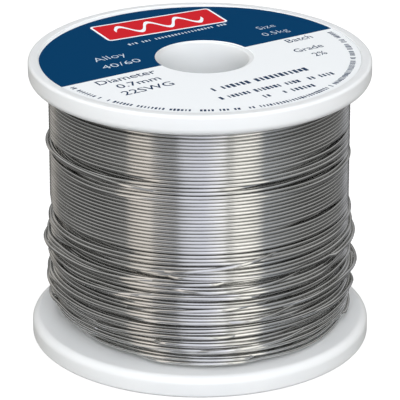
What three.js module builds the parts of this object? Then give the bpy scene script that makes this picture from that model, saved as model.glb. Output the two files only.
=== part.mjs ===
// A 0.5 kg spool of flux-cored solder wire: a moulded plastic spool that stands on one flange,
// the wound wire between its flanges, and a printed paper label set into the upper flange.
// Millimetres, +Z up along the spool's axis, origin at the centre of the face it stands on.
import * as THREE from "three";

// Spool body: one moulding, the same at both ends.
const FLANGE_DIAMETER = 66;
const SPOOL_HEIGHT = 56.8;
const FLANGE_THICKNESS = 4.2;
const FLANGE_OUTER_EDGE_RADIUS = 0.65; // where a flange's outer face meets its rim
const FLANGE_INNER_EDGE_RADIUS = 1.6; // where the face that holds the wire meets the rim
const BORE_DIAMETER = 18.8;
const BORE_EDGE_RADIUS = 0.3;
const BARREL_DIAMETER = 36;
const BARREL_FILLET = 0.8; // where the barrel meets the flanges

// Each flange's outer face is sunk inside a raised rim, from the rim to the bore.
const RIM_WIDTH = 2;
const RECESS_DEPTH = 0.35;

// Wound wire, as one ring of all its turns.
const WINDING_INSET = 4.05; // how far its surface lies inside the flanges' rims
const WINDING_CORNER_RADIUS = 0.35; // half a wire, at the first and last turn
const WINDING_CLEARANCE = 0.1; // to the barrel and to each flange

// Paper label, stuck to the floor of the upper flange's recess.
const LABEL_THICKNESS = 0.15;
const LABEL_CLEARANCE = 0.1; // to the rim, and to the bore's rounded edge

// Facets.
const TURN_SEGMENTS = 96;
const EDGE_SEGMENTS = 3;
const WIDE_EDGE_SEGMENTS = 5;

const flangeRadius = FLANGE_DIAMETER / 2;
const boreRadius = BORE_DIAMETER / 2;
const barrelRadius = BARREL_DIAMETER / 2;
const recessRadius = flangeRadius - RIM_WIDTH;
const recessFloor = SPOOL_HEIGHT - RECESS_DEPTH; // of the upper flange

function point(r, z) {
  return new THREE.Vector2(r, z);
}

// Points of an arc about (r, z), from one angle to another in degrees.
function arc(r, z, radius, fromDeg, toDeg, segments = EDGE_SEGMENTS) {
  return Array.from({ length: segments + 1 }, (_, i) => {
    const angle = THREE.MathUtils.degToRad(fromDeg + ((toDeg - fromDeg) * i) / segments);
    return point(r + radius * Math.cos(angle), z + radius * Math.sin(angle));
  });
}

// A solid of revolution about +Z. Its section is a loop of (radius, height) points that runs
// anticlockwise when the axis is on the left and +Z is up.
function revolve(section) {
  return new THREE.LatheGeometry([...section, section[0]], TURN_SEGMENTS).rotateX(Math.PI / 2);
}

// The spool's section below mid-height: down the bore, out under the flange, round its rim,
// and back in to the barrel.
function lowerSection() {
  const outer = FLANGE_OUTER_EDGE_RADIUS;
  const inner = FLANGE_INNER_EDGE_RADIUS;
  const face = FLANGE_THICKNESS;
  return [
    ...arc(boreRadius + BORE_EDGE_RADIUS, RECESS_DEPTH + BORE_EDGE_RADIUS, BORE_EDGE_RADIUS, 180, 270),
    point(recessRadius, RECESS_DEPTH),
    point(recessRadius, 0),
    ...arc(flangeRadius - outer, outer, outer, 270, 360),
    ...arc(flangeRadius - inner, face - inner, inner, 0, 90, WIDE_EDGE_SEGMENTS),
    ...arc(barrelRadius + BARREL_FILLET, face + BARREL_FILLET, BARREL_FILLET, 270, 180),
  ];
}

function spoolBody() {
  const lower = lowerSection();
  const upper = lower.map((p) => point(p.x, SPOOL_HEIGHT - p.y)).reverse();
  return revolve([...lower, ...upper]);
}

// The ring fills the spool from the barrel outwards, clear of the barrel's fillets.
function solderWinding() {
  const inner = barrelRadius + WINDING_CLEARANCE;
  const outer = flangeRadius - WINDING_INSET;
  const foot = FLANGE_THICKNESS + WINDING_CLEARANCE;
  const head = SPOOL_HEIGHT - foot;
  const corner = WINDING_CORNER_RADIUS;
  return revolve([
    point(inner, foot + BARREL_FILLET),
    point(inner + BARREL_FILLET, foot),
    ...arc(outer - corner, foot + corner, corner, 270, 360),
    ...arc(outer - corner, head - corner, corner, 0, 90),
    point(inner + BARREL_FILLET, head),
    point(inner, head - BARREL_FILLET),
  ]);
}

function label() {
  const inner = boreRadius + BORE_EDGE_RADIUS + LABEL_CLEARANCE;
  const outer = recessRadius - LABEL_CLEARANCE;
  return revolve([
    point(inner, recessFloor),
    point(outer, recessFloor),
    point(outer, recessFloor + LABEL_THICKNESS),
    point(inner, recessFloor + LABEL_THICKNESS),
  ]);
}

function part(name, geometry, material) {
  const mesh = new THREE.Mesh(geometry, new THREE.MeshStandardMaterial(material));
  mesh.name = name;
  return mesh;
}

const spool = new THREE.Group();
spool.add(
  part("spool_body", spoolBody(), { color: "#eceff1", roughness: 0.38, metalness: 0 }),
  part("solder_winding", solderWinding(), { color: "#a3a39f", roughness: 0.3, metalness: 1 }),
  part("label", label(), { color: "#f4f7f8", roughness: 0.45, metalness: 0 }),
);

export default spool;
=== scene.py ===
"""A 0.5 kg spool of soft solder wire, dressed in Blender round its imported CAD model.

Metres, +Z up along the spool's axis, with the side seen from the front towards -Y. Sizes that belong to one
piece are that piece's fields, in millimetres. Azimuths run from the front towards the right, in degrees.
"""

import logging
import math
from dataclasses import dataclass
from enum import Enum, IntEnum
from typing import Any, Iterable, Sequence

import bpy
import numpy as np
from bpy.types import ID, Material, Mesh, Node, NodeSocket, NodeTree, Object
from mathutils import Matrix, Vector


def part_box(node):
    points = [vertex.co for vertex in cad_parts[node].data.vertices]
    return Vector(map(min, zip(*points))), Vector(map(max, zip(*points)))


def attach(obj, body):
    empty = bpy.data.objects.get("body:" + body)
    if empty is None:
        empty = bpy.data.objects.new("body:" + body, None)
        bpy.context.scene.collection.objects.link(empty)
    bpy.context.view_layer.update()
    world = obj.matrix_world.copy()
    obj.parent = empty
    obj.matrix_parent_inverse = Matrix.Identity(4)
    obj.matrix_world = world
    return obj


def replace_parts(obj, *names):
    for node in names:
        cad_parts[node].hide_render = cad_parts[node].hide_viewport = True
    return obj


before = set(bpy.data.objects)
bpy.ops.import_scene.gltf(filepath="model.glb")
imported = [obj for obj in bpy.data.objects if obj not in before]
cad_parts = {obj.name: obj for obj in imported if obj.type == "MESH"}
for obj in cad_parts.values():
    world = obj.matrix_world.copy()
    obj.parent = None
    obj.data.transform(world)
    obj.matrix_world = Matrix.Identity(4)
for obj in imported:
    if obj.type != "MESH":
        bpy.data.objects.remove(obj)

LOG = logging.getLogger("solder_spool")
MM = 0.001
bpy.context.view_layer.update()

Point = tuple[float, float]
Colour = tuple[float, float, float, float]
Feed = Node | NodeSocket


# ---- Shared helpers ----


def linear(hex_colour: str) -> Colour:
    """Turns an sRGB hex colour into the linear colour that a shader takes.

    Args:
        hex_colour: six hex digits after a #.

    Returns:
        Linear red, green, blue and an alpha of 1.
    """
    digits = hex_colour.lstrip("#")
    channels = (int(digits[i : i + 2], 16) / 255 for i in (0, 2, 4))
    red, green, blue = (c / 12.92 if c <= 0.04045 else ((c + 0.055) / 1.055) ** 2.4 for c in channels)
    return red, green, blue, 1.0


def grey(level: float) -> Colour:
    """Returns a linear grey."""
    return level, level, level, 1.0


def add_node(tree: NodeTree, kind: str, inputs: dict[str | int, Any] | None = None, **settings: Any) -> Node:
    """Adds one node to a tree, sets it and links what feeds it.

    Args:
        tree: the tree that the node goes into.
        kind: the node's type name.
        inputs: for each input's name or number, its constant, the output socket that feeds it, or the node
            whose first output does.
        settings: the node's own properties.

    Returns:
        The new node.
    """
    node = tree.nodes.new(kind)
    for name, value in settings.items():
        setattr(node, name, value)
    for key, value in (inputs or {}).items():
        if isinstance(value, Feed):
            link(tree, value, node.inputs[key])
        else:
            node.inputs[key].default_value = value
    return node


def link(tree: NodeTree, feed: Feed, target: NodeSocket) -> None:
    """Feeds an input from an output socket, or from a node's first output."""
    tree.links.new(feed.outputs[0] if isinstance(feed, Node) else feed, target)


def mesh_object(
    name: str,
    vertices: Iterable[Sequence[float]],
    faces: Iterable[Sequence[int]] = (),
    edges: Iterable[Sequence[int]] = (),
    smooth: bool = True,
) -> Object:
    """Makes a mesh object at the origin and puts it in the scene.

    Args:
        name: the object's name.
        vertices: corner positions.
        faces: corner numbers of each face, anticlockwise as seen from outside.
        edges: pairs of corner numbers, for a mesh that is only a line.
        smooth: whether its faces are shaded smooth.

    Returns:
        The new object.
    """
    mesh = bpy.data.meshes.new(name)
    mesh.from_pydata([tuple(v) for v in vertices], [tuple(e) for e in edges], [tuple(f) for f in faces])
    mesh.polygons.foreach_set("use_smooth", [smooth] * len(mesh.polygons))
    mesh.update()
    return in_scene(name, mesh)


def in_scene(name: str, data: ID) -> Object:
    """Makes an object at the origin from its data and puts it in the scene.

    Args:
        name: the object's name.
        data: its mesh, lamp, camera or other data.

    Returns:
        The new object.
    """
    made = bpy.data.objects.new(name, data)
    bpy.context.scene.collection.objects.link(made)
    return made


def bend_mesh(mesh: Mesh, turned: np.ndarray) -> None:
    """Writes new corner positions, one row of x, y and z each, into a mesh."""
    mesh.vertices.foreach_set("co", turned.astype(np.float32).ravel())
    mesh.update()


def corners(mesh: Mesh) -> np.ndarray:
    """Reads a mesh's corner positions.

    Args:
        mesh: the mesh.

    Returns:
        One row of x, y and z for each corner.
    """
    flat = np.empty(len(mesh.vertices) * 3, np.float32)
    mesh.vertices.foreach_get("co", flat)
    return flat.reshape(-1, 3).astype(float)


def arc(centre: Point, radius: float, start: float, end: float, steps: int) -> list[Point]:
    """Gives points along an arc in a plane.

    Args:
        centre: the arc's centre.
        radius: its radius.
        start: angle of its first point in degrees, anticlockwise from the first axis.
        end: angle of its last point.
        steps: how many chords stand in for it.

    Returns:
        The points, first and last included.
    """
    angles = np.radians(np.linspace(start, end, steps + 1))
    return [(centre[0] + radius * math.cos(t), centre[1] + radius * math.sin(t)) for t in angles]


def lathe(name: str, section: Sequence[Point], segments: int, smooth: bool = True) -> Object:
    """Turns a closed section about the Z axis into a closed ring.

    Args:
        name: the object's name.
        section: (radius, height) points in mm, anticlockwise with the axis on the left and +Z up.
        segments: how many steps make a full turn.
        smooth: whether its faces are shaded smooth.

    Returns:
        The turned object, with its faces outwards.
    """
    angles = np.arange(segments) * math.tau / segments
    rims = [[(r * math.cos(t) * MM, r * math.sin(t) * MM, z * MM) for r, z in section] for t in angles]
    count = len(section)
    faces = []
    for turn in range(segments):
        here, there = turn * count, (turn + 1) % segments * count
        pairs = ((i, (i + 1) % count) for i in range(count))
        faces += [(here + i, there + i, there + j, here + j) for i, j in pairs]
    return mesh_object(name, [v for rim in rims for v in rim], faces, smooth=smooth)


def smoothstep(values: np.ndarray) -> np.ndarray:
    """Turns a rise from 0 to 1 into one that starts and ends gently.

    Args:
        values: the rise, which may run past 0 and 1.

    Returns:
        The gentle rise, from 0 to 1.
    """
    held = np.clip(values, 0, 1)
    return held * held * (3 - 2 * held)


def bell(reach: int, width: float) -> np.ndarray:
    """Returns bell-shaped weights at whole steps from -reach to reach, for a spread of width steps."""
    return np.exp(-0.5 * (np.arange(-reach, reach + 1) / width) ** 2)


def new_tree(name: str, inputs: dict[str, str]) -> tuple[NodeTree, Node]:
    """Starts a Geometry Nodes tree.

    Args:
        name: the tree's name.
        inputs: the socket type of each named input between the geometry and the finish.

    Returns:
        The tree and its input node.
    """
    tree = bpy.data.node_groups.new(name, "GeometryNodeTree")
    sockets = {"Geometry": "NodeSocketGeometry", **inputs, "Finish": "NodeSocketMaterial"}
    for label, kind in sockets.items():
        tree.interface.new_socket(label, in_out="INPUT", socket_type=kind)
    tree.interface.new_socket("Geometry", in_out="OUTPUT", socket_type="NodeSocketGeometry")
    return tree, add_node(tree, "NodeGroupInput")


def end_tree(tree: NodeTree, geometry: Feed, finish: Feed) -> None:
    """Ends a Geometry Nodes tree with real geometry in its finish.

    Args:
        tree: the tree.
        geometry: what it has made so far.
        finish: the material to set.
    """
    real = add_node(tree, "GeometryNodeRealizeInstances", {"Geometry": geometry})
    dressed = add_node(tree, "GeometryNodeSetMaterial", {"Geometry": real, "Material": finish})
    add_node(tree, "NodeGroupOutput", {"Geometry": dressed})


def apply_tree(piece: Object, tree: NodeTree, inputs: dict[str, Any]) -> None:
    """Runs a Geometry Nodes tree on an object and keeps the result as its plain mesh.

    Args:
        piece: the object that holds what the tree works from.
        tree: the tree to run.
        inputs: a value for each of the tree's named inputs.
    """
    modifier = piece.modifiers.new(tree.name, "NODES")
    modifier.node_group = tree
    sockets = {s.name: s.identifier for s in tree.interface.items_tree if s.in_out == "INPUT"}
    for name, value in inputs.items():
        modifier[sockets[name]] = value
    graph = bpy.context.evaluated_depsgraph_get()
    result = bpy.data.meshes.new_from_object(
        piece.evaluated_get(graph), preserve_all_data_layers=True, depsgraph=graph
    )
    piece.modifiers.remove(modifier)
    piece.data = result


# ---- Finishes ----


@dataclass(frozen=True)
class Relief:
    """Fine unevenness of a surface.

    Args:
        size: how far it is from one rise to the next, in mm.
        height: how high the rises are, in mm.
        detail: how much finer relief lies on the coarse.
        strength: how much of it the surface shows.
    """

    size: float
    height: float
    detail: float
    strength: float

    def add(self, tree: NodeTree, shader: Node) -> None:
        """Adds the relief to a material as bump.

        Args:
            tree: the material's node tree.
            shader: its Principled shader.
        """
        place = add_node(tree, "ShaderNodeTexCoord")
        inputs = {"Vector": place.outputs["Object"], "Scale": 1 / (self.size * MM), "Detail": self.detail}
        grain = add_node(tree, "ShaderNodeTexNoise", inputs)
        inputs = {"Height": grain, "Strength": self.strength, "Distance": self.height * MM}
        bump = add_node(tree, "ShaderNodeBump", inputs)
        link(tree, bump, shader.inputs["Normal"])


@dataclass(frozen=True)
class Finish:
    """A material as it is in the hand, with typical values for its kind."""

    name: str
    colour: str
    roughness: float
    ior: float = 1.5

    def dress(self, tree: NodeTree, shader: Node) -> None:
        """Adds what one kind of finish has beyond plain colour and gloss, which here is nothing."""

    def material(self) -> Material:
        """Gives the finish as a material.

        Returns:
            The material, made the first time that it is asked for.
        """
        found = bpy.data.materials.get(self.name)
        if found:
            return found
        made = bpy.data.materials.new(self.name)
        made.use_nodes = True
        made.diffuse_color = linear(self.colour)
        shader = made.node_tree.nodes["Principled BSDF"]
        shader.inputs["Base Color"].default_value = linear(self.colour)
        shader.inputs["Roughness"].default_value = self.roughness
        shader.inputs["IOR"].default_value = self.ior
        self.dress(made.node_tree, shader)
        return made


@dataclass(frozen=True)
class MouldedPolystyrene(Finish):
    """White high-impact polystyrene from a fine-grained mould.

    It gives the eye a clean, faintly cool white whose edges glow a little, with a soft satin sheen. The
    mould's grain is finer than this, and is drawn as coarse as it needs to show.
    """

    relief: Relief = Relief(0.5, 0.004, 2.0, 0.35)
    glow: float = 0.12
    glow_colours: tuple[float, float, float] = (1.0, 0.9, 0.85)
    glow_depth: float = 0.6

    def dress(self, tree: NodeTree, shader: Node) -> None:
        """Lets light a little way in, and gives the surface the mould's faint unevenness.

        Args:
            tree: the material's node tree.
            shader: its Principled shader.
        """
        shader.inputs["Subsurface Weight"].default_value = self.glow
        shader.inputs["Subsurface Radius"].default_value = self.glow_colours
        shader.inputs["Subsurface Scale"].default_value = self.glow_depth * MM
        self.relief.add(tree, shader)


@dataclass(frozen=True)
class CoatedPaper(Finish):
    """Clay-coated white label paper.

    It gives the eye a flat, cool white with a slight sheen and a trace of the paper's fibre, which is drawn
    coarser than it is so that it shows.
    """

    relief: Relief = Relief(1.2, 0.006, 3.0, 0.4)

    def dress(self, tree: NodeTree, shader: Node) -> None:
        """Gives the coat the faint unevenness of the paper's fibre."""
        self.relief.add(tree, shader)


@dataclass(frozen=True)
class PrintingInk(Finish):
    """Offset ink on the coated paper, which gives the eye a flat, even colour with hardly any sheen."""

    sheen: float = 0.003

    def dress(self, tree: NodeTree, shader: Node) -> None:
        """Keeps the ink's reflection low, since it lies half in the paper's coat."""
        shader.inputs["Specular IOR Level"].default_value = self.sheen


@dataclass(frozen=True)
class DrawnSolder(Finish):
    """Tin-lead alloy drawn through a die into fine wire.

    It gives the eye a bright, slightly warm grey metal whose highlight runs along each turn and changes a
    little from one length of wire to the next, where the surface is more or less rubbed.
    """

    dull_colour: str = "#c6c6c3"
    rubbed_roughness: float = 0.14
    rub_width: float = 0.7
    rub_length: float = 14.0
    rub_range: Point = (0.35, 0.68)
    rub_detail: float = 3.0
    rub_fineness: float = 0.55

    def dress(self, tree: NodeTree, shader: Node) -> None:
        """Varies colour and gloss in streaks that run round the spool with the wire.

        Args:
            tree: the material's node tree.
            shader: its Principled shader.
        """
        shader.inputs["Metallic"].default_value = 1.0
        along, across = 1 / (self.rub_length * MM), 1 / (self.rub_width * MM)
        place = add_node(tree, "ShaderNodeTexCoord")
        inputs = {"Vector": place.outputs["Object"], "Scale": (along, along, across)}
        stretched = add_node(tree, "ShaderNodeMapping", inputs)
        detail = {"Detail": self.rub_detail, "Roughness": self.rub_fineness}
        streaks = add_node(tree, "ShaderNodeTexNoise", {"Vector": stretched, "Scale": 1.0, **detail})
        low, high = self.rub_range
        inputs = {"Value": streaks, "From Min": low, "From Max": high}
        rubbed = add_node(tree, "ShaderNodeMapRange", inputs)
        inputs = {0: rubbed, 6: linear(self.colour), 7: linear(self.dull_colour)}
        tone = add_node(tree, "ShaderNodeMix", inputs, data_type="RGBA")
        inputs = {"Value": rubbed, "To Min": self.roughness, "To Max": self.rubbed_roughness}
        gloss = add_node(tree, "ShaderNodeMapRange", inputs)
        link(tree, tone.outputs[2], shader.inputs["Base Color"])
        link(tree, gloss, shader.inputs["Roughness"])


POLYSTYRENE = MouldedPolystyrene("moulded_polystyrene", "#e0e2e2", 0.36, 1.59)
SOLDER = DrawnSolder("drawn_solder_wire", "#dcdcda", 0.085)
PAPER = CoatedPaper("coated_label_paper", "#eef1f2", 0.42)
NAVY_INK = PrintingInk("navy_printing_ink", "#053a61", 0.45)
RED_INK = PrintingInk("red_printing_ink", "#c8242c", 0.38)
WHITE_INK = PrintingInk("white_printing_ink", "#eef3f7", 0.4)
PALE_INK = PrintingInk("pale_printing_ink", "#c4d2de", 0.4)
DARK_INK = PrintingInk("dark_printing_ink", "#1c3350", 0.4)


# ---- The spool ----


@dataclass
class MouldedSpool:
    """The one-piece moulding: two flanges with sunk faces, the barrel and the through bore."""

    flange_thickness: float = 4.2
    outer_edge_radius: float = 0.65
    inner_edge_radius: float = 1.6
    rim_width: float = 2.0
    recess_depth: float = 0.35
    recess_corner_radius: float = 0.15
    rim_inner_edge_radius: float = 0.12
    barrel_diameter: float = 36.0
    barrel_fillet: float = 0.8
    bore_edge_radius: float = 0.3
    segments: int = 288
    lip_steps: int = 4
    fillet_steps: int = 6
    outer_edge_steps: int = 8
    inner_edge_steps: int = 14

    def __post_init__(self) -> None:
        """Takes the height, the flange radius and the bore radius from the CAD node."""
        low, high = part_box("spool_body")
        points = corners(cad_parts["spool_body"].data)
        self.height = (high[2] - low[2]) / MM
        self.flange_radius = (high[0] - low[0]) / 2 / MM
        self.bore_radius = float(np.hypot(points[:, 0], points[:, 1]).min()) / MM

    def lower_section(self) -> list[Point]:
        """Draws the section below mid-height.

        Returns:
            (radius, height) points from the bore round the flange to the barrel.
        """
        recess_radius, barrel_radius = self.flange_radius - self.rim_width, self.barrel_diameter / 2
        outer, inner, face = self.outer_edge_radius, self.inner_edge_radius, self.flange_thickness
        bore_edge, corner, lip = self.bore_edge_radius, self.recess_corner_radius, self.rim_inner_edge_radius
        floor, fillet = self.recess_depth, self.barrel_fillet
        return [
            *arc((self.bore_radius + bore_edge, floor + bore_edge), bore_edge, 180, 270, self.fillet_steps),
            *arc((recess_radius - corner, floor - corner), corner, 90, 0, self.lip_steps),
            *arc((recess_radius + lip, lip), lip, 180, 270, self.lip_steps),
            *arc((self.flange_radius - outer, outer), outer, 270, 360, self.outer_edge_steps),
            *arc((self.flange_radius - inner, face - inner), inner, 0, 90, self.inner_edge_steps),
            *arc((barrel_radius + fillet, face + fillet), fillet, 270, 180, self.fillet_steps),
        ]

    def build(self) -> Object:
        """Turns the section and dresses it.

        Returns:
            The spool, which stands for the CAD body.
        """
        lower = self.lower_section()
        upper = [(r, self.height - z) for r, z in reversed(lower)]
        spool = lathe("moulded_spool", lower + upper, self.segments)
        spool.data.materials.append(POLYSTYRENE.material())
        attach(spool, "root")
        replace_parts(spool, "spool_body")
        return spool


# ---- The wire ----

# How many spreads a bell-shaped weight takes in on each side, and a height in mm that no wire comes near.
BELL_REACH = 3
NOWHERE = 1e6


@dataclass(frozen=True)
class Groove:
    """A place where two turns of the wire lie a little apart all the way round.

    Args:
        height: where it is, in mm.
        width: (azimuth, opening in mm).
    """

    height: float
    width: tuple[Point, ...]


@dataclass(frozen=True)
class Stray:
    """A turn that leaves its place, up, down or inwards under its neighbours.

    Args:
        height: where the turn lies at the front, in mm.
        course: (azimuth, rise in mm, how far it sinks in mm).
    """

    height: float
    course: tuple[tuple[float, float, float], ...]


def lifted(height: float, *course: Point) -> Stray:
    """Returns a turn that only rises or falls, by (azimuth, rise in mm)."""
    return Stray(height, tuple((azimuth, rise, 0) for azimuth, rise in course))


def dipping(height: float, *dips: tuple[float, float, float, float, float]) -> Stray:
    """Gives a turn that keeps its height and sinks under its neighbours here and there.

    Args:
        height: where the turn lies at the front, in mm.
        dips: for each, the azimuths where it starts down, is down, starts up and is up, and its depth in mm.

    Returns:
        The turn.
    """
    course = []
    for start, down, up, end, sink in dips:
        course += [(start, 0, 0), (down, 0, sink), (up, 0, sink), (end, 0, 0)]
    return Stray(height, tuple(course))


@dataclass(frozen=True)
class Swell:
    """A stretch of the surface that stands out because wire is heaped below it.

    Args:
        azimuth: its middle, and its half-width round the spool.
        height: its middle, and its half-height in mm.
        depth: how far it stands out in mm.
    """

    azimuth: Point
    height: Point
    depth: float


class Lay(Enum):
    """The layers of wire that can be seen, each with the name of its piece."""

    TOP = "wire_top_layer"
    UNDER = "wire_layer_below"
    RIDERS = "wire_crossing_turns"


@dataclass
class SolderWinding:
    """The wire: a visible layer that is neat above and unruly below, on a neat layer that its gaps show.

    A rider is a length of wire that crosses over the turns below it and dives between them at both ends, and
    is given by the (azimuth, height in mm) of points along it.
    """

    wire_diameter: float = 0.69
    pitch: float = 0.693
    turns: float = 67.1
    steps_per_turn: int = 120
    facets: int = 10
    under_facets: int = 8
    groove_opening: float = 0.8
    groove_softness: float = 5.0
    unruly_below: float = 27.5
    unruly_rise: float = 4.0
    unrest: float = 0.21
    unrest_length: float = 26.0
    seed: int = 11
    stray_softness: float = 3.0
    least_sink: float = 0.05
    touching: float = 0.98
    climb_spread: float = 3.5
    climb_reach: int = 4
    overrun: float = 60.0
    end_dive: float = 1.1
    end_dive_length: float = 25.0
    rider_dive: float = 1.3
    rider_dive_length: float = 15.0
    rider_dive_curve: float = 1.5
    rider_reach: int = 4
    rider_softness: float = 1.8
    swell_reach: float = 1.4
    swell_edge: float = 1.1
    swell_steepness: float = 6.0
    shoulder_azimuth: Point = (-56, 86)
    shoulder_reach: float = 1.1
    shoulder_height: float = 6.5
    shoulder_depth: float = 3.1
    shoulder_curve: float = 1.5
    under_slack: float = 0.85
    sag: tuple[Point, ...] = ((-160, 0.0), (-120, 0.9), (-80, 0.8), (-62, 0.15), (-45, 0.0))
    sag_height: float = 22.0
    sag_softness: float = 6.0
    grooves: tuple[Groove, ...] = (
        Groove(51.0, ((-55, 0.2), (-30, 0.2), (0, 0.0), (180, 0.1))),
        Groove(42.2, ((0, 0.06),)),
        Groove(40.8, ((0, 0.1),)),
        Groove(39.5, ((0, 0.1),)),
        Groove(27.4, ((-60, 0.35), (0, 0.14), (35, 0.4), (60, 0.25))),
        Groove(25.1, ((0, 0.1),)),
        Groove(16.3, ((0, 0.14),)),
    )
    strays: tuple[Stray, ...] = (
        dipping(44.2, (50, 57, 64, 72, 1.7)),
        dipping(42.6, (42, 48, 55, 62, 1.7)),
        Stray(41.9, ((-78, -0.2, 0.0), (-67, -0.1, 1.9), (-34, -0.1, 1.9), (-26, 0.0, 0.0))),
        lifted(41.2, (-75, -0.4), (-40, -0.45), (-24, 0.0), (24, 0.0), (40, 0.2), (80, 0.0)),
        Stray(
            40.5,
            (
                *((-75, -0.35, 0.0), (-40, -0.35, 0.0), (-24, 0.0, 0.0)),
                *((19, 0.0, 0.0), (27, 0.0, 1.9), (50, 0.1, 1.9), (60, 0.1, 0.0)),
            ),
        ),
        Stray(
            39.8,
            (
                *((-92, 0.0, 0.0), (-82, -0.1, 1.9), (-64, -0.1, 1.9), (-56, -0.3, 0.0)),
                *((-38, -0.25, 0.0), (-24, 0.0, 0.0), (28, 0.0, 0.0), (45, 0.4, 0.0)),
                *((64, 0.3, 0.0), (76, 0.0, 0.0)),
            ),
        ),
        lifted(39.1, (-60, 0.0), (-40, -0.15), (-28, 0.0), (36, 0.0), (58, -0.35), (70, -0.2), (80, 0.0)),
        dipping(31.1, (42, 48, 56, 63, 1.9)),
        dipping(27.0, (-80, -70, -46, -36, 1.9)),
        dipping(24.7, (-78, -68, -50, -42, 1.9)),
        dipping(23.1, (-70, -58, -38, -28, 1.9)),
        dipping(22.4, (-72, -62, -36, -24, 1.9)),
        dipping(21.6, (22, 29, 37, 44, 1.7)),
        dipping(20.5, (64, 72, 80, 88, 1.7)),
        dipping(18.8, (38, 46, 58, 66, 1.9)),
        dipping(17.3, (-78, -68, -52, -42, 1.9), (40, 48, 66, 74, 1.9)),
        dipping(13.7, (56, 64, 74, 82, 1.7)),
        dipping(10.1, (36, 45, 60, 70, 1.9)),
        dipping(9.1, (-68, -58, -40, -28, 1.7)),
        dipping(7.4, (-58, -48, -34, -24, 1.7), (44, 52, 62, 70, 1.7)),
        dipping(5.7, (34, 42, 56, 64, 1.7)),
    )
    riders: tuple[tuple[Point, ...], ...] = (
        ((-120, 39.4), (-90, 40.3), (-60, 40.8), (-42, 40.8), (-28, 40.4), (-14, 39.7)),
        ((-20, 23.9), (-5, 24.3), (8, 24.9), (22, 26.0), (32, 26.5)),
        ((-125, 19.8), (-95, 20.4), (-70, 20.9), (-45, 21.2), (-30, 21.6), (-18, 21.8)),
        ((-125, 12.4), (-100, 12.8), (-80, 13.0), (-64, 13.2)),
        ((-130, 8.2), (-90, 8.6), (-66, 8.9), (-45, 8.7)),
        ((32, 15.0), (45, 15.6), (60, 16.0), (88, 15.2), (120, 14.4)),
        ((4, 13.9), (18, 14.1), (27, 14.5), (42, 15.1)),
        ((40, 11.4), (52, 12.2), (75, 11.8), (100, 10.9)),
        ((-18, 18.9), (-34, 18.4), (-52, 18.0), (-75, 18.3), (-98, 17.8)),
        ((-34, 15.4), (-16, 16.0), (4, 16.5), (22, 16.6)),
        ((-52, 10.0), (-28, 10.7), (-4, 11.0), (20, 10.6)),
        ((-6, 7.7), (12, 8.3), (32, 8.8), (50, 9.0)),
        ((-12, 20.4), (6, 20.1), (26, 20.7), (44, 21.0)),
        ((150, 33.0), (165, 33.8), (195, 34.9), (212, 35.4)),
        ((120, 21.5), (140, 22.4), (170, 22.9), (205, 22.0)),
        ((160, 10.2), (185, 11.6), (215, 11.9), (235, 11.2)),
    )
    swells: tuple[Swell, ...] = (
        Swell((-95, 36), (40.0, 11.5), 0.25),
        Swell((95, 42), (14.0, 13.5), 0.14),
        Swell((-92, 26), (21.2, 1.6), 0.3),
        Swell((84, 34), (5.0, 1.9), -0.8),
    )

    def __post_init__(self) -> None:
        """Takes the winding's height and radius from the CAD node, and numbers the steps along the wire."""
        low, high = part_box("solder_winding")
        self.bed_radius = (high[0] - low[0]) / 2 / MM - self.wire_diameter / 2
        self.foot = low[2] / MM + self.wire_diameter / 2
        self.head = high[2] / MM - self.wire_diameter / 2
        self.azimuths = np.arange(self.steps_per_turn) * 360 / self.steps_per_turn - 180
        self.count = int(self.turns * self.steps_per_turn) + 1
        self.column = np.arange(self.count) % self.steps_per_turn
        self.travel = np.arange(self.count) / self.steps_per_turn

    def round_profile(self, points: Sequence[Point], degrees: float) -> np.ndarray:
        """Runs a smooth closed curve through values given at a few azimuths.

        Args:
            points: azimuths and their values.
            degrees: how far each corner is rounded off.

        Returns:
            A value for each step of one turn.
        """
        azimuths, values = zip(*points)
        line = np.interp(self.azimuths, azimuths, values, period=360)
        frequencies = np.fft.rfftfreq(len(line), 1 / 360)
        soften = np.exp(-2 * (math.pi * frequencies * degrees / 360) ** 2)
        return np.fft.irfft(np.fft.rfft(line) * soften, len(line))

    def wander(self, generator: np.random.Generator, degrees: float) -> np.ndarray:
        """Makes a slow random value along the wire.

        Args:
            generator: the source of random numbers.
            degrees: how far round the spool it takes to change.

        Returns:
            A value for each step along the wire, of mean 0 and spread 1.
        """
        reach = int(degrees / 360 * self.steps_per_turn * BELL_REACH)
        weights = bell(reach, reach / BELL_REACH)
        noise = np.convolve(generator.normal(size=self.count + 2 * reach), weights, "valid")
        return noise / math.sqrt((weights**2).sum())

    def heights(self) -> np.ndarray:
        """Works out how high each step of the visible layer lies before any turn strays.

        The turns lie a pitch apart, and each groove moves all that is below it down. What room is then left
        is taken up evenly by the unruly turns.

        Returns:
            The height of each step in mm.
        """
        opened = np.zeros(self.steps_per_turn)
        moved = np.zeros(self.count)
        for groove in self.grooves:
            width = self.round_profile(groove.width, self.groove_softness)
            edge = (self.head - opened - groove.height) / self.pitch
            past = smoothstep((self.travel - edge[self.column]) * self.groove_opening + 0.5)
            moved += width[self.column] * past
            opened += width
        room = self.head - self.foot - self.pitch * self.turns - opened
        LOG.info("room taken up by the unruly turns: %.2f to %.2f mm", room.min(), room.max())
        first = (self.head - self.unruly_below) / self.pitch
        share = np.clip((self.travel - first) / (self.turns - 1 - first), 0, 1)
        level = self.head - self.pitch * self.travel - moved - room[self.column] * share
        sag = self.round_profile(self.sag, self.sag_softness)[self.column]
        return level - sag * np.clip((level - self.foot) / self.sag_height, 0, 1)

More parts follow.
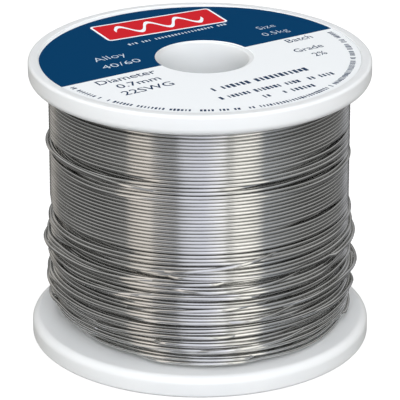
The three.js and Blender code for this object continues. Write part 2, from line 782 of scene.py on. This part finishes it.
    def strayed(self, heights: np.ndarray) -> tuple[np.ndarray, np.ndarray]:
        """Moves the straying turns out of their places, and the lower turns a little at random.

        Args:
            heights: the height of each step in mm.

        Returns:
            The new heights, and how far each step is sunk, in mm.
        """
        generator = np.random.default_rng(self.seed)
        depth = np.clip((self.unruly_below - heights) / self.unruly_rise, 0, 1)
        moved = heights + self.unrest * depth * self.wander(generator, self.unrest_length)
        sunk = np.zeros(self.count)
        front = self.steps_per_turn // 2
        for stray in self.strays:
            turn = int(np.argmin(np.abs(heights[front :: self.steps_per_turn] - stray.height)))
            steps = slice(turn * self.steps_per_turn, (turn + 1) * self.steps_per_turn)
            azimuths, rises, sinks = zip((180, 0, 0), *stray.course)
            moved[steps] += self.round_profile(tuple(zip(azimuths, rises)), self.stray_softness)
            sunk[steps] += self.round_profile(tuple(zip(azimuths, sinks)), self.stray_softness)
        return np.clip(moved, self.foot, self.head), sunk

    def closeness(self, azimuths: np.ndarray, middle: float, half_width: float, reach: float) -> np.ndarray:
        """Works out how near azimuths are to the middle of a stretch, the shorter way round.

        Args:
            azimuths: the azimuths.
            middle: the stretch's middle.
            half_width: half its width in degrees.
            reach: how many half-widths from its middle it ends, one of which it takes to fade.

        Returns:
            1 in the stretch and 0 outside it, with a gentle change between.
        """
        off = np.abs((azimuths - middle + 180) % 360 - 180)
        return smoothstep(reach - off / half_width)

    def swelling(self, azimuths: np.ndarray, heights: np.ndarray) -> np.ndarray:
        """Works out how far the surface stands out, or stands back at the foot.

        Args:
            azimuths: where round the spool.
            heights: how high, in mm.

        Returns:
            How far out it stands in mm, at each azimuth and height.
        """
        total = np.zeros(np.broadcast(azimuths, heights).shape)
        for swell in self.swells:
            off = np.abs(heights - swell.height[0]) / swell.height[1]
            upright = np.clip((self.swell_edge - off) * self.swell_steepness, 0, 1)
            total += swell.depth * self.closeness(azimuths, *swell.azimuth, self.swell_reach) * upright
        low = np.clip(1 - (heights - self.foot) / self.shoulder_height, 0, 1) ** self.shoulder_curve
        across = self.closeness(azimuths, *self.shoulder_azimuth, self.shoulder_reach)
        return total - self.shoulder_depth * across * low

    def resting(self, heights: np.ndarray, laid_z: np.ndarray, laid_r: np.ndarray) -> np.ndarray:
        """Works out how far out a wire comes to lie on the turns that are already there.

        Args:
            heights: the wire's height at each of its steps.
            laid_z: heights of the laid turns, one row for each turn and one column for each step.
            laid_r: their distances from the axis.

        Returns:
            The wire's distance from the axis at each step, or 0 where it touches nothing.
        """
        gap = np.abs(laid_z - heights)
        lean = np.sqrt(np.clip(self.wire_diameter**2 - gap**2, 0, None))
        return np.where(gap < self.wire_diameter * self.touching, laid_r + lean, 0).max(axis=0, initial=0)

    def eased(self, line: np.ndarray) -> np.ndarray:
        """Rounds off a line of distances as a stiff wire does, which starts to climb ahead of what it meets.

        Args:
            line: the distance from the axis at each step.

        Returns:
            The rounded distances.
        """
        spread = self.climb_spread / 360 * self.steps_per_turn
        widen, reach = max(1, round(spread)), int(spread * self.climb_reach)
        weights = bell(reach, spread)
        highest = np.max([np.roll(line, shift) for shift in range(-widen, widen + 1)], axis=0)
        return np.convolve(np.pad(highest, reach, mode="edge"), weights / weights.sum(), "valid")

    def radii(self, heights: np.ndarray, sunk: np.ndarray) -> np.ndarray:
        """Lays the turns one after another, each on what is already there.

        Args:
            heights: the height of each step in mm.
            sunk: how far each step is sunk below the layer in mm.

        Returns:
            The distance of each step from the axis in mm.
        """
        steps = self.steps_per_turn
        ahead = round(self.overrun / 360 * steps)
        rows = math.ceil(self.count / steps)
        laid_z = np.full((rows, steps), NOWHERE)
        laid_r = np.zeros((rows, steps))
        radii = np.empty(self.count)
        bed = self.bed_radius + self.swelling(self.azimuths[self.column], heights)
        for row in range(rows):
            start = row * steps
            end = min(start + steps + ahead, self.count)
            columns, z = self.column[start:end], heights[start:end]
            raw = np.maximum(bed[start:end], self.resting(z, laid_z[:row, columns], laid_r[:row, columns]))
            before = radii[max(0, start - ahead) : start]
            soft = self.eased(np.concatenate((before, raw)))[len(before) :][:steps]
            done = slice(start, start + len(soft))
            sunken = np.where(sunk[done] > self.least_sink, np.minimum(soft, bed[done]), soft)
            radii[done] = sunken - sunk[done]
            laid_z[row, : len(soft)] = heights[done]
            laid_r[row, : len(soft)] = radii[done]
        self.laid = laid_z, laid_r
        return radii

    def placed(self, azimuths: np.ndarray, heights: np.ndarray, radii: np.ndarray) -> np.ndarray:
        """Turns azimuths in degrees, heights and distances in mm into rows of x, y and z in metres."""
        turn = np.radians(azimuths)
        return np.column_stack((radii * np.sin(turn), -radii * np.cos(turn), heights)) * MM

    def top_line(self) -> np.ndarray:
        """Lays the visible layer.

        Returns:
            The line that the middle of its wire follows, one row of x, y and z for each step.
        """
        heights, sunk = self.strayed(self.heights())
        radii = self.radii(heights, sunk)
        to_end = np.minimum(self.travel, self.travel[-1] - self.travel) * 360 / self.end_dive_length
        radii -= self.end_dive * np.clip(1 - to_end, 0, 1) ** 2
        return self.placed(self.azimuths[self.column], heights, radii)

    def under_line(self) -> np.ndarray:
        """Lays the layer below, whose turns lie half a pitch off those of the visible one.

        Returns:
            The line that the middle of its wire follows.
        """
        heights = self.head - self.pitch * (self.travel + 0.5)
        heights = heights[heights > self.foot]
        azimuths = self.azimuths[self.column[: len(heights)]]
        below = self.wire_diameter * math.sqrt(3) / 2 + self.under_slack
        return self.placed(azimuths, heights, self.bed_radius - below + self.swelling(azimuths, heights))

    def rider_line(self, rider: tuple[Point, ...]) -> np.ndarray:
        """Lays one length of wire over the visible layer.

        Args:
            rider: the azimuth and height of points along it.

        Returns:
            The line that its middle follows.
        """
        azimuths, heights = (np.array(values) for values in zip(*sorted(rider)))
        step = 360 / self.steps_per_turn
        along = np.arange(math.ceil(azimuths[0] / step), math.floor(azimuths[-1] / step) + 1)
        raw = np.interp(along * step, azimuths, heights)
        weights = bell(self.rider_reach, self.rider_softness)
        padded = np.pad(raw, self.rider_reach, mode="reflect", reflect_type="odd")
        z = np.convolve(padded, weights / weights.sum(), "valid")
        columns = (along + self.steps_per_turn // 2) % self.steps_per_turn
        laid_z, laid_r = self.laid
        radii = self.eased(self.resting(z, laid_z[:, columns], laid_r[:, columns]))
        to_end = np.minimum(along - along[0], along[-1] - along) * step / self.rider_dive_length
        radii -= self.rider_dive * np.clip(1 - to_end, 0, 1) ** self.rider_dive_curve
        return self.placed(along * step, z, radii)

    def lines(self, lay: Lay) -> list[np.ndarray]:
        """Lays the wire of one layer. The visible layer comes first, since the riders rest on it.

        Args:
            lay: which layer.

        Returns:
            The line of each length of its wire.
        """
        if lay is Lay.TOP:
            return [self.top_line()]
        if lay is Lay.UNDER:
            return [self.under_line()]
        return [self.rider_line(rider) for rider in self.riders]

    def sweep_tree(self) -> NodeTree:
        """Builds the tree that draws a round wire along a line of points.

        Returns:
            The tree.
        """
        sockets = {"Wire Diameter": "NodeSocketFloat", "Facets": "NodeSocketInt"}
        tree, given = new_tree("wire_along_line", sockets)
        line = add_node(tree, "GeometryNodeMeshToCurve", {"Mesh": given.outputs["Geometry"]})
        inputs = {0: given.outputs["Wire Diameter"], 1: 0.5}
        radius = add_node(tree, "ShaderNodeMath", inputs, operation="MULTIPLY")
        inputs = {"Resolution": given.outputs["Facets"], "Radius": radius}
        ring = add_node(tree, "GeometryNodeCurvePrimitiveCircle", inputs)
        inputs = {"Curve": line, "Profile Curve": ring, "Fill Caps": True}
        swept = add_node(tree, "GeometryNodeCurveToMesh", inputs)
        smooth = add_node(tree, "GeometryNodeSetShadeSmooth", {"Geometry": swept})
        end_tree(tree, smooth, given.outputs["Finish"])
        return tree

    def build(self) -> list[Object]:
        """Lays and sweeps the layers.

        Returns:
            The layers, which stand together for the CAD winding.
        """
        tree = self.sweep_tree()
        layers = []
        for lay in Lay:
            points, pairs = [], []
            for line in self.lines(lay):
                pairs += [(len(points) + i, len(points) + i + 1) for i in range(len(line) - 1)]
                points += list(line)
            layer = mesh_object(lay.value, points, edges=pairs)
            facets = self.under_facets if lay is Lay.UNDER else self.facets
            inputs = {"Wire Diameter": self.wire_diameter * MM, "Facets": facets, "Finish": SOLDER.material()}
            apply_tree(layer, tree, inputs)
            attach(layer, "root")
            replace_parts(layer, "solder_winding")
            layers.append(layer)
        return layers


# ---- The label ----


class Coat(IntEnum):
    """What a piece of print lies on, by how many coats of ink that is."""

    ON_PAPER = 0
    ON_NAVY = 1
    ON_BORDER = 2
    ON_PANEL = 3


@dataclass(frozen=True)
class Words:
    """A generic word or value printed on the label, in the label's own upright.

    Args:
        text: what it says.
        start: left end of its foot line in mm.
        length: how long it is in mm.
        height: height of its capitals in mm.
        ink: what it is printed in.
        weight: how much bolder than the typeface it is, for a size of 1.
    """

    text: str
    start: Point
    length: float
    height: float
    ink: PrintingInk
    weight: float = 0.0


@dataclass(frozen=True)
class Greeking:
    """A row of small blocks that stands in for lines of print.

    Args:
        name: the piece's name.
        line: points that the row runs through in mm.
        letter: length and height of a block in mm.
        spacing: distance from block to block in mm.
        seed: picks which blocks are left out as gaps between words.
        ink: what it is printed in.
    """

    name: str
    line: tuple[Point, ...]
    letter: Point
    spacing: float
    seed: int
    ink: PrintingInk


@dataclass
class PaperLabel:
    """The paper ring on the upper flange, white with one navy half, and its print."""

    turn: float = 33.2
    ink_thickness: float = 0.01
    ink_overlap: float = 0.5
    segments: int = 288
    division: float = 0.1
    print_margin: float = 0.03
    print_centre: Point = (0.1, -2.4)
    print_radius: float = 32.3
    hole_centre: Point = (0.9, -0.2)
    hole_radius: float = 9.5
    panel_centre: Point = (3.8, 20.6)
    panel_size: Point = (26.2, 9.3)
    panel_tilt: float = -6.2
    panel_corner: float = 0.9
    corner_steps: int = 6
    panel_border: float = 0.45
    wave_margin: float = 3.6
    wave_height: float = 2.1
    wave_count: float = 1.5
    wave_points: int = 97
    wave_half_width: float = 0.62
    capital_height: float = 0.69
    letter_steps: int = 3
    ring_radius: float = 29.3
    ring_span: Point = (181, 358)
    ring_steps: int = 120
    shortest_block: tuple[float, float, float] = (0.5, 0.75, 1.0)
    blocks_kept: float = 0.84

    def __post_init__(self) -> None:
        """Takes the ring's outer radius and heights from the CAD node."""
        low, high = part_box("label")
        self.outer_radius = (high[0] - low[0]) / 2 / MM
        self.foot = low[2] / MM
        self.face = high[2] / MM

    def coat(self, lies: Coat) -> Point:
        """Works out between which heights a coat of ink lies.

        Args:
            lies: what it lies on.

        Returns:
            Its foot, a little way into what it lies on, and its top, in mm.
        """
        foot = self.face + (lies - self.ink_overlap) * self.ink_thickness
        return foot, self.face + (lies + 1) * self.ink_thickness

    def small_print(self, ink: PrintingInk) -> Point:
        """Returns the foot and top of small print, which is pale on the navy half and dark on the paper."""
        return self.coat(Coat.ON_NAVY if ink is PALE_INK else Coat.ON_PAPER)

    def placed(self, piece: Object, ink: Finish) -> Object:
        """Turns a flat piece from the label's own upright to its place and dresses it.

        Args:
            piece: a mesh drawn in mm on the label's plane.
            ink: its finish.

        Returns:
            The same piece.
        """
        cos, sin = math.cos(math.radians(self.turn)), math.sin(math.radians(self.turn))
        x, y, z = corners(piece.data).T
        bend_mesh(piece.data, np.column_stack((x * cos - y * sin, x * sin + y * cos, z)) * MM)
        piece.data.materials.clear()
        piece.data.materials.append(ink.material())
        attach(piece, "root")
        return piece

    def slab(self, name: str, outline: Sequence[Point], lies: Coat) -> Object:
        """Makes a flat patch of print as a thin closed solid.

        Args:
            name: the piece's name.
            outline: its corners in mm, anticlockwise.
            lies: what it lies on.

        Returns:
            The patch, in mm and not yet placed.
        """
        count = len(outline)
        points = [(x, y, z) for z in self.coat(lies) for x, y in outline]
        walls = [(i, (i + 1) % count, count + (i + 1) % count, count + i) for i in range(count)]
        faces = [tuple(reversed(range(count))), tuple(range(count, 2 * count)), *walls]
        return mesh_object(name, points, faces, smooth=False)

    def ribbon(self, name: str, upper: list[Point], lower: list[Point], lies: Coat) -> Object:
        """Makes a strip of print between two lines as a thin closed solid.

        Args:
            name: the piece's name.
            upper: points in mm along one side, with the strip on their right.
            lower: as many points along the other side.
            lies: what it lies on.

        Returns:
            The strip, in mm and not yet placed.
        """
        foot, top = self.coat(lies)
        count = len(upper)
        rows = [(lower, foot), (lower, top), (upper, top), (upper, foot)]
        points = [(x, y, z) for line, z in rows for x, y in line]
        starts = [row * count for row in range(len(rows))]
        faces = []
        for here, there in zip(starts, starts[1:] + starts[:1]):
            faces += [(here + i, here + i + 1, there + i + 1, there + i) for i in range(count - 1)]
        faces += [tuple(starts), tuple(start + count - 1 for start in reversed(starts))]
        return mesh_object(name, points, faces, smooth=False)

    def paper(self) -> Object:
        """Makes the paper ring, whose hole is a little off its middle.

        Returns:
            The ring, which stands for the CAD label.
        """
        inner, outer, foot, face = self.hole_radius, self.outer_radius, self.foot, self.face
        section = [(inner, foot), (outer, foot), (outer, face), (inner, face)]
        ring = lathe("label_paper_ring", section, self.segments, smooth=False)
        points = corners(ring.data) / MM
        at_hole = np.hypot(points[:, 0], points[:, 1]) < (inner + outer) / 2
        points[at_hole, :2] += self.hole_centre
        bend_mesh(ring.data, points)
        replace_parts(self.placed(ring, PAPER), "label")
        return ring

    def navy_half(self) -> Object:
        """Makes the navy half of the ring, on the far side of a straight line across it.

        Returns:
            The navy half, clear of the paper's edges.
        """
        rims = []
        edges = (
            (self.print_radius, self.print_centre),
            (self.hole_radius + self.print_margin, self.hole_centre),
        )
        for radius, (x, y) in edges:
            tilt = math.asin((self.division - y) / radius)
            span = np.linspace(tilt, math.pi - tilt, self.segments // 2 + 1)
            rim = np.column_stack((x + radius * np.cos(span), y + radius * np.sin(span)))
            reach = np.hypot(*rim.T)
            held = np.minimum(reach, self.outer_radius - self.print_margin) / reach
            rims.append((rim * held[:, None]).tolist())
        outer, inner = rims
        return self.placed(self.ribbon("label_navy_half", inner, outer, Coat.ON_PAPER), NAVY_INK)

    def panel_box(self, inset: float) -> list[Point]:
        """Draws the panel's outline, or one inside it, with rounded corners.

        Args:
            inset: how far inside the panel's edge it runs, in mm.

        Returns:
            Its points in mm on the label, anticlockwise.
        """
        x, y = (side / 2 - self.panel_corner for side in self.panel_size)
        radius = self.panel_corner - inset
        centres = (((x, -y), 270), ((x, y), 0), ((-x, y), 90), ((-x, -y), 180))
        rounded = (arc(centre, radius, start, start + 90, self.corner_steps) for centre, start in centres)
        return self.tilted(point for corner in rounded for point in corner)

    def tilted(self, points: Iterable[Point]) -> list[Point]:
        """Turns points from the panel's own upright to its place on the label.

        Args:
            points: the points in mm from the panel's middle.

        Returns:
            The points in mm on the label.
        """
        cos, sin = math.cos(math.radians(self.panel_tilt)), math.sin(math.radians(self.panel_tilt))
        x, y = self.panel_centre
        return [(x + u * cos - v * sin, y + u * sin + v * cos) for u, v in points]

    def emblem(self) -> list[Object]:
        """Makes the red panel with its white border and a plain waving line of wire.

        Returns:
            The border, the red field and the waving line.
        """
        end = self.panel_size[0] / 2 - self.wave_margin
        along = np.linspace(-end, end, self.wave_points)
        wave = self.wave_height * np.sin((along / end + 1) * math.tau * self.wave_count)
        sides = (self.wave_half_width, -self.wave_half_width)
        upper, lower = (self.tilted(zip(along, wave + side)) for side in sides)
        border = self.slab("label_panel_border", self.panel_box(0), Coat.ON_NAVY)
        field = self.slab("label_panel_field", self.panel_box(self.panel_border), Coat.ON_BORDER)
        squiggle = self.ribbon("label_panel_wire", upper, lower, Coat.ON_PANEL)
        inks = ((border, WHITE_INK), (field, RED_INK), (squiggle, WHITE_INK))
        return [self.placed(piece, ink) for piece, ink in inks]

    def words(self) -> list[Object]:
        """Sets the generic words and values in the built-in typeface.

        Returns:
            One piece for each word or value.
        """
        lines = (
            Words("Alloy", (-18.1, 8.4), 6.9, 2.1, PALE_INK, -0.014),
            Words("40/60", (-18.9, 4.1), 8.4, 1.9, PALE_INK, -0.01),
            Words("Size", (18.6, 7.0), 3.9, 1.8, PALE_INK, -0.016),
            Words("0.5kg", (17.4, 3.3), 5.8, 1.8, PALE_INK, -0.016),
            Words("Diameter", (-24.4, -3.0), 12.8, 2.1, DARK_INK, 0.006),
            Words("0.7mm", (-22.1, -6.5), 9.3, 2.0, DARK_INK, 0.006),
            Words("22SWG", (-23.2, -10.3), 11.0, 2.1, DARK_INK, 0.006),
            Words("Batch", (19.0, -2.5), 5.8, 1.9, DARK_INK, 0.004),
            Words("Grade", (17.1, -8.0), 6.4, 1.9, DARK_INK, 0.004),
            Words("2%", (19.0, -11.7), 2.8, 1.9, DARK_INK, 0.004),
        )
        made = []
        for number, line in enumerate(lines, 1):
            curve = bpy.data.curves.new(f"type_{number}", "FONT")
            curve.body = line.text
            curve.extrude = 1.0
            curve.resolution_u = self.letter_steps
            curve.offset = line.weight
            setting = in_scene(curve.name, curve)
            graph = bpy.context.evaluated_depsgraph_get()
            mesh = bpy.data.meshes.new_from_object(setting.evaluated_get(graph))
            bpy.data.objects.remove(setting)
            u, v, side = corners(mesh).T
            x = line.start[0] + (u - u.min()) / (u.max() - u.min()) * line.length
            y = line.start[1] + v / self.capital_height * line.height
            foot, top = self.small_print(line.ink)
            bend_mesh(mesh, np.column_stack((x, y, np.where(side > 0, top, foot))))
            made.append(self.placed(in_scene(f"label_words_{number}", mesh), line.ink))
        return made

    def blocks_tree(self) -> NodeTree:
        """Builds the tree that sets small printed blocks along a line, with random lengths and gaps.

        Returns:
            The tree.
        """
        sockets = {"Spacing": "NodeSocketFloat", "Block Size": "NodeSocketVector", "Seed": "NodeSocketInt"}
        tree, given = new_tree("print_blocks_along_line", sockets)
        line = add_node(tree, "GeometryNodeMeshToCurve", {"Mesh": given.outputs["Geometry"]})
        inputs = {"Curve": line, "Length": given.outputs["Spacing"]}
        spots = add_node(tree, "GeometryNodeCurveToPoints", inputs, mode="LENGTH")
        block = add_node(tree, "GeometryNodeMeshCube", {"Size": given.outputs["Block Size"]})
        inputs = {"Min": self.shortest_block, "Max": (1, 1, 1), "Seed": given.outputs["Seed"]}
        length = add_node(tree, "FunctionNodeRandomValue", inputs, data_type="FLOAT_VECTOR")
        inputs = {"Probability": self.blocks_kept, "Seed": given.outputs["Seed"]}
        kept = add_node(tree, "FunctionNodeRandomValue", inputs, data_type="BOOLEAN")
        inputs = {"Vector": spots.outputs["Tangent"]}
        along = add_node(tree, "FunctionNodeAlignRotationToVector", inputs, axis="X", pivot_axis="Z")
        inputs = {
            "Points": spots,
            "Instance": block,
            "Selection": kept.outputs[3],
            "Rotation": along,
            "Scale": length,
        }
        placed = add_node(tree, "GeometryNodeInstanceOnPoints", inputs)
        end_tree(tree, placed, given.outputs["Finish"])
        return tree

    def greeking(self) -> list[Object]:
        """Sets the rows of blocks that stand in for small print.

        Returns:
            One piece for each row.
        """
        rim = tuple(arc((0, 0), self.ring_radius, *self.ring_span, self.ring_steps))
        rows = (
            Greeking("label_rows_edge", rim, (0.5, 1.15), 0.7, 3, DARK_INK),
            Greeking("label_rows_address", ((-7.4, 13.6), (14.7, 13.6)), (0.48, 0.95), 0.74, 4, PALE_INK),
            Greeking("label_rows_bold", ((-7.9, -16.6), (14.0, -16.6)), (0.86, 1.8), 1.06, 5, DARK_INK),
            Greeking("label_rows_note_1", ((-9.2, -21.3), (15.8, -21.3)), (0.66, 1.55), 0.86, 6, DARK_INK),
            Greeking("label_rows_note_2", ((-1.9, -24.8), (9.0, -24.8)), (0.66, 1.55), 0.86, 8, DARK_INK),
        )
        tree = self.blocks_tree()
        made = []
        for row in rows:
            foot, top = self.small_print(row.ink)
            pairs = [(i, i + 1) for i in range(len(row.line) - 1)]
            piece = mesh_object(row.name, [(x, y, (foot + top) / 2) for x, y in row.line], edges=pairs)
            inputs = {
                "Spacing": row.spacing,
                "Block Size": (*row.letter, top - foot),
                "Seed": row.seed,
                "Finish": row.ink.material(),
            }
            apply_tree(piece, tree, inputs)
            made.append(self.placed(piece, row.ink))
        return made

    def build(self) -> list[Object]:
        """Makes the paper and all of its print.

        Returns:
            The label's pieces, of which the paper ring stands for the CAD label.
        """
        return [self.paper(), self.navy_half(), *self.emblem(), *self.words(), *self.greeking()]


# ---- The studio ----


@dataclass(frozen=True)
class Bands:
    """How the studio's tall softboxes and the dark between them look in a mirror.

    Args:
        stops: (azimuth, colour, brightness), with the azimuth from -180 to 180.
        floor_share: how bright the floor below a softbox is, next to the box itself.
        floor_rise: heights of a mirrored direction between which floor turns into softbox.
        ceiling: brightness of the ceiling over the dark places.
        pit: brightness of the floor in the dark places.
        ceiling_rise: heights of a mirrored direction between which the pit turns into ceiling.
    """

    stops: tuple[tuple[float, str, float], ...]
    floor_share: float
    floor_rise: Point
    ceiling: float
    pit: float
    ceiling_rise: Point


@dataclass(frozen=True)
class SoftLight:
    """A large soft lamp that lights plastic and paper, and isn't mirrored.

    Args:
        name: its name.
        azimuth: where it hangs.
        elevation: how high, in degrees.
        size: its side in mm.
        power: in watts.
        colour: the colour of its light.
    """

    name: str
    azimuth: float
    elevation: float
    size: float
    power: float
    colour: str


@dataclass
class Studio:
    """The floor, the surroundings, the lights and the camera."""

    floor_size: float = 6000.0
    floor_seen: float = 0.35
    floor_glow: float = 0.8
    floor_unseen: float = 0.26
    light_distance: float = 1100.0
    camera_distance: float = 631.7
    camera_elevation: float = 21.95
    nearest: float = 10.0
    farthest: float = 20000.0
    target_height: float = 27.1
    lens: float = 291.6
    sensor: float = 36.0
    even_light: float = 0.46
    bands: Bands = Bands(
        stops=(
            (-180, "#ffffff", 0.05),
            (-155, "#ffffff", 0.1),
            (-148, "#fffaf4", 0.63),
            (-138, "#fffaf4", 0.36),
            (-128, "#ffffff", 0.1),
            (-80, "#ffffff", 0.08),
            (-57, "#ffffff", 0.34),
            (-54, "#fff6ee", 1.14),
            (-38, "#fff8f2", 1.18),
            (-35, "#f2f6ff", 0.44),
            (-19, "#eff3ff", 0.47),
            (-14, "#f2f4ff", 1.15),
            (4, "#eff1ff", 1.28),
            (12, "#f5f6ff", 1.45),
            (19, "#fcfcff", 1.66),
            (21, "#ffffff", 0.82),
            (25, "#ffffff", 0.82),
            (27, "#fffdf9", 1.48),
            (45, "#fffcf6", 1.64),
            (49, "#f0f6ff", 0.62),
            (70, "#f4f9ff", 0.34),
            (90, "#ffffff", 0.13),
            (125, "#ffffff", 0.1),
            (138, "#f8f9ff", 0.32),
            (147, "#f8f9ff", 0.63),
            (155, "#ffffff", 0.1),
        ),
        floor_share=0.66,
        floor_rise=(-0.5, 0.25),
        ceiling=0.55,
        pit=0.09,
        ceiling_rise=(-0.2, 0.65),
    )
    lights: tuple[SoftLight, ...] = (
        SoftLight("key_light", 3, 25, 700, 10.8, "#f8faff"),
        SoftLight("right_light", 80, 7, 220, 2.8, "#fffaf2"),
        SoftLight("left_light", -80, 7, 220, 3.4, "#fffaf2"),
        SoftLight("overhead_light", 0, 85, 900, 3.9, "#f8faff"),
    )

    def aim(self, made: Object, azimuth: float, elevation: float, distance: float) -> None:
        """Puts a lamp or camera in its place and points it at the spool.

        Args:
            made: the lamp or camera.
            azimuth: where it is.
            elevation: how high, in degrees.
            distance: how far from the point it looks at, in mm.
        """
        a, e = math.radians(azimuth), math.radians(elevation)
        off = np.array((math.sin(a) * math.cos(e), -math.cos(a) * math.cos(e), math.sin(e))) * distance * MM
        made.location = off + (0, 0, self.target_height * MM)
        towards = made.location.__class__(-off)
        made.rotation_euler = towards.to_track_quat("-Z", "Y").to_euler()

    def by_ray(self, tree: NodeTree, ray: str, others: Feed, those: Feed) -> Node:
        """Gives one kind of ray a look of its own.

        Args:
            tree: the node tree.
            ray: the kind of ray, by its name on the Light Path node.
            others: what all other rays see.
            those: what rays of this kind see.

        Returns:
            The two together.
        """
        path = add_node(tree, "ShaderNodeLightPath")
        inputs = {0: path.outputs[ray], 1: others, 2: those}
        return add_node(tree, "ShaderNodeMixShader", inputs)

    def floor(self) -> Object:
        """Makes the white floor.

        Returns:
            The floor: lit by itself to the camera, with a faint shadow, and plain grey to all else.
        """
        half = self.floor_size / 2 * MM
        ends = ((-half, -half, 0), (half, -half, 0), (half, half, 0), (-half, half, 0))
        floor = mesh_object("floor", ends, [range(len(ends))])
        material = bpy.data.materials.new("studio_floor")
        material.use_nodes = True
        tree = material.node_tree
        tree.nodes.remove(tree.nodes["Principled BSDF"])
        shaded = add_node(tree, "ShaderNodeBsdfDiffuse", {"Color": grey(self.floor_seen)})
        lit = add_node(tree, "ShaderNodeEmission", {"Color": grey(1), "Strength": self.floor_glow})
        seen = add_node(tree, "ShaderNodeAddShader", {0: shaded, 1: lit})
        plain = add_node(tree, "ShaderNodeBsdfDiffuse", {"Color": grey(self.floor_unseen)})
        mixed = self.by_ray(tree, "Is Camera Ray", plain, seen)
        link(tree, mixed, tree.nodes["Material Output"].inputs["Surface"])
        floor.data.materials.append(material)
        floor.visible_glossy = False
        return floor

    def rise(self, tree: NodeTree, height: Feed, between: Point, levels: Point) -> Node:
        """Makes a brightness that changes gently from low directions to high ones.

        Args:
            tree: the world's node tree.
            height: how high a direction points, from -1 to 1.
            between: the heights between which it changes.
            levels: the brightness below and above them.

        Returns:
            The brightness.
        """
        ends = {"From Min": between[0], "From Max": between[1], "To Min": levels[0], "To Max": levels[1]}
        inputs = {"Value": height, **ends}
        return add_node(tree, "ShaderNodeMapRange", inputs, interpolation_type="SMOOTHSTEP")

    def mirrored(self, tree: NodeTree) -> Node:
        """Makes the surroundings as the wire mirrors them: tall soft bands of light with dark between.

        Args:
            tree: the world's node tree.

        Returns:
            The background node that holds them.
        """
        bands = self.bands
        place = add_node(tree, "ShaderNodeTexCoord")
        apart = add_node(tree, "ShaderNodeSeparateXYZ", {"Vector": place.outputs["Generated"]})
        front = add_node(tree, "ShaderNodeMath", {0: apart.outputs["Y"], 1: -1.0}, operation="MULTIPLY")
        inputs = {0: apart.outputs["X"], 1: front}
        turned = add_node(tree, "ShaderNodeMath", inputs, operation="ARCTAN2")
        inputs = {"Value": turned, "From Min": -math.pi, "From Max": math.pi}
        spread = add_node(tree, "ShaderNodeMapRange", inputs)
        hues = add_node(tree, "ShaderNodeValToRGB", {"Fac": spread})
        brightest = max(level for _, _, level in bands.stops)
        stops = hues.color_ramp.elements
        for number, (azimuth, colour, level) in enumerate(bands.stops):
            stop = stops[number] if number < 1 else stops.new((azimuth + 180) / 360)
            stop.position = (azimuth + 180) / 360
            stop.color = (*(channel * level / brightest for channel in linear(colour)[:3]), 1)
        stops[-1].position = 1.0
        stops[-1].color = stops[0].color
        height = apart.outputs["Z"]
        lift = self.rise(tree, height, bands.floor_rise, (bands.floor_share, 1.0))
        dark = self.rise(tree, height, bands.ceiling_rise, (bands.pit / brightest, bands.ceiling / brightest))
        inputs = {0: hues, "Scale": lift}
        lifted_hues = add_node(tree, "ShaderNodeVectorMath", inputs, operation="SCALE")
        inputs = {0: lifted_hues, 1: dark}
        seen = add_node(tree, "ShaderNodeVectorMath", inputs, operation="MAXIMUM")
        return add_node(tree, "ShaderNodeBackground", {"Color": seen, "Strength": brightest})

    def surroundings(self) -> None:
        """Makes the room: white behind the spool, even for soft light, and banded where it is mirrored."""
        world = bpy.data.worlds.new("studio")
        world.use_nodes = True
        bpy.context.scene.world = world
        tree = world.node_tree
        tree.nodes.remove(tree.nodes["Background"])
        seen = add_node(tree, "ShaderNodeBackground", {"Color": grey(1), "Strength": 1.0})
        even = add_node(tree, "ShaderNodeBackground", {"Color": grey(1), "Strength": self.even_light})
        mirrored = self.mirrored(tree)
        soft = self.by_ray(tree, "Is Glossy Ray", even, mirrored)
        mixed = self.by_ray(tree, "Is Camera Ray", soft, seen)
        link(tree, mixed, tree.nodes["World Output"].inputs["Surface"])

    def hang_light(self, light: SoftLight) -> Object:
        """Hangs one soft lamp, aimed at the spool.

        Args:
            light: where it is and how bright.

        Returns:
            The lamp.
        """
        lamp = bpy.data.lights.new(light.name, "AREA")
        lamp.size = light.size * MM
        lamp.energy = light.power
        lamp.color = linear(light.colour)[:3]
        made = in_scene(light.name, lamp)
        self.aim(made, light.azimuth, light.elevation, self.light_distance)
        made.visible_glossy = False
        made.visible_camera = False
        return made

    def camera(self) -> Object:
        """Sets up the camera in front of the spool, looking a little down on it.

        Returns:
            The camera.
        """
        data = bpy.data.cameras.new("camera")
        data.lens = self.lens
        data.sensor_width = self.sensor
        data.clip_start = self.nearest * MM
        data.clip_end = self.farthest * MM
        made = in_scene("camera", data)
        self.aim(made, 0, self.camera_elevation, self.camera_distance)
        bpy.context.scene.camera = made
        return made

    def build(self) -> None:
        """Builds the whole studio."""
        self.surroundings()
        self.floor()
        for light in self.lights:
            self.hang_light(light)
        self.camera()
        bpy.context.scene.view_settings.view_transform = "Standard"


def triangles(piece: Object) -> int:
    """Returns how many triangles a piece's mesh has."""
    return sum(len(face.vertices) - 2 for face in piece.data.polygons)


def main() -> None:
    """Builds the spool, the wire, the label and the studio, and reports each piece."""
    logging.basicConfig(level=logging.INFO, format="%(name)s: %(message)s")
    for piece in (MouldedSpool().build(), *SolderWinding().build(), *PaperLabel().build()):
        LOG.info("%s: %d triangles", piece.name, triangles(piece))
    Studio().build()


if __name__ == "__main__":
    main()
